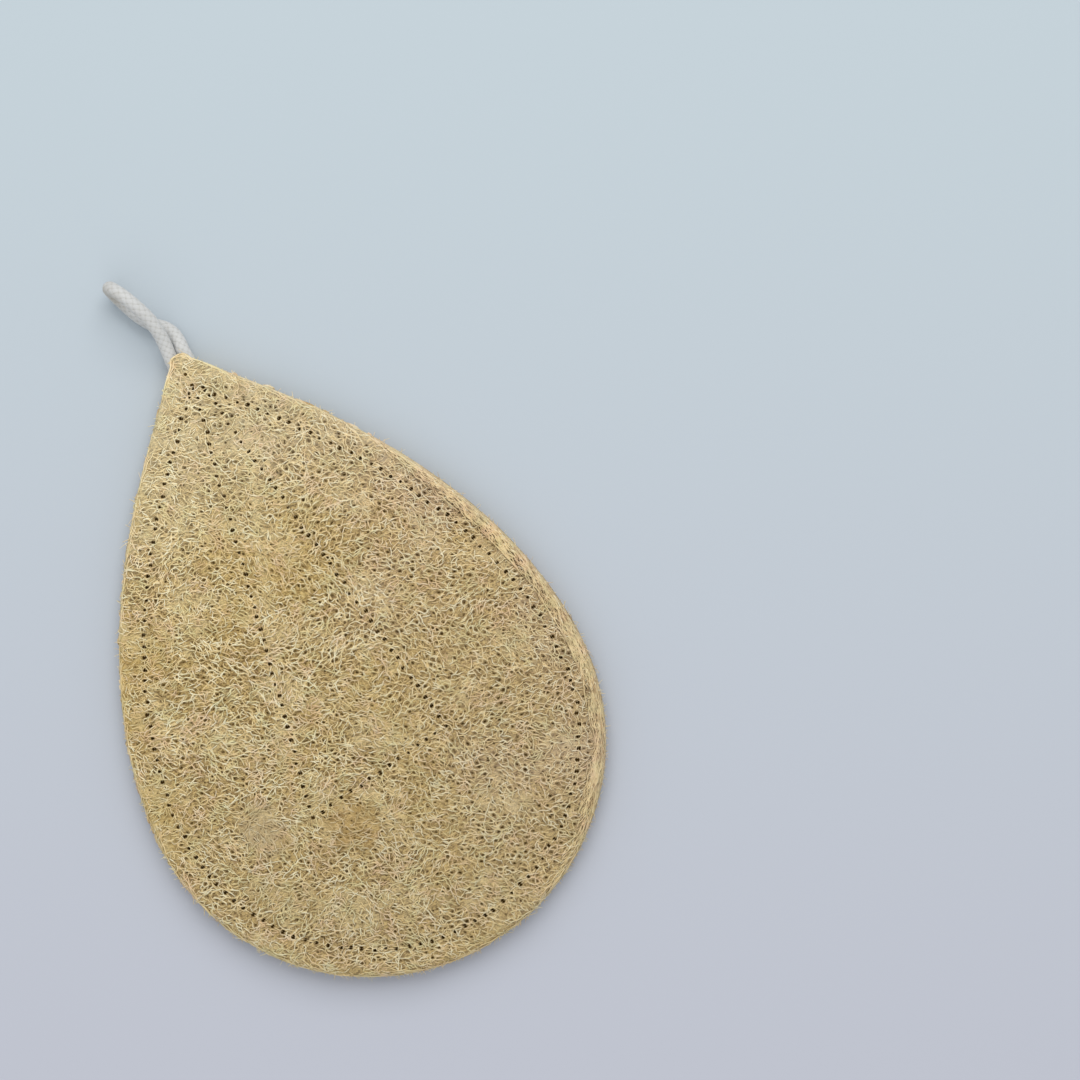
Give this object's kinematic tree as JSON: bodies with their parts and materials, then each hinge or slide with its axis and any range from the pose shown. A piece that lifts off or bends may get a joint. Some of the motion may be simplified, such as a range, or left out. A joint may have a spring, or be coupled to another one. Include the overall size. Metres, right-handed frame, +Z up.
{
  "type": "loofah scrubbing pad",
  "caption": "Flat drop-shaped scrubbing pad of natural loofah, sewn from a fine-faced and a coarse-faced layer, with a short cotton hanging loop at the tip.",
  "frame": {"origin": "middle of the pad's box at the height of the surface that it lies on", "axes": "+Y towards the tip with the loop, +Z up out of the fine face"},
  "size_m": [0.105, 0.1722, 0.0115],
  "materials": {
    "fine_fibre": "matte straw-coloured loofah, fine matted inner fibres",
    "coarse_fibre": "matte straw-coloured loofah, coarse wiry outer fibres",
    "sewing_thread": "matte spun thread, the colour of the fibre",
    "cotton_cord": "matte off-white cotton cord"
  },
  "bodies": {
    "root": {"front_layer": "fine_fibre", "back_layer": "coarse_fibre", "rim_thread_front": "sewing_thread", "rim_thread_back": "sewing_thread", "inner_thread_front": "sewing_thread", "inner_thread_back": "sewing_thread", "hang_loop": "cotton_cord"}
  },
  "joints": []
}
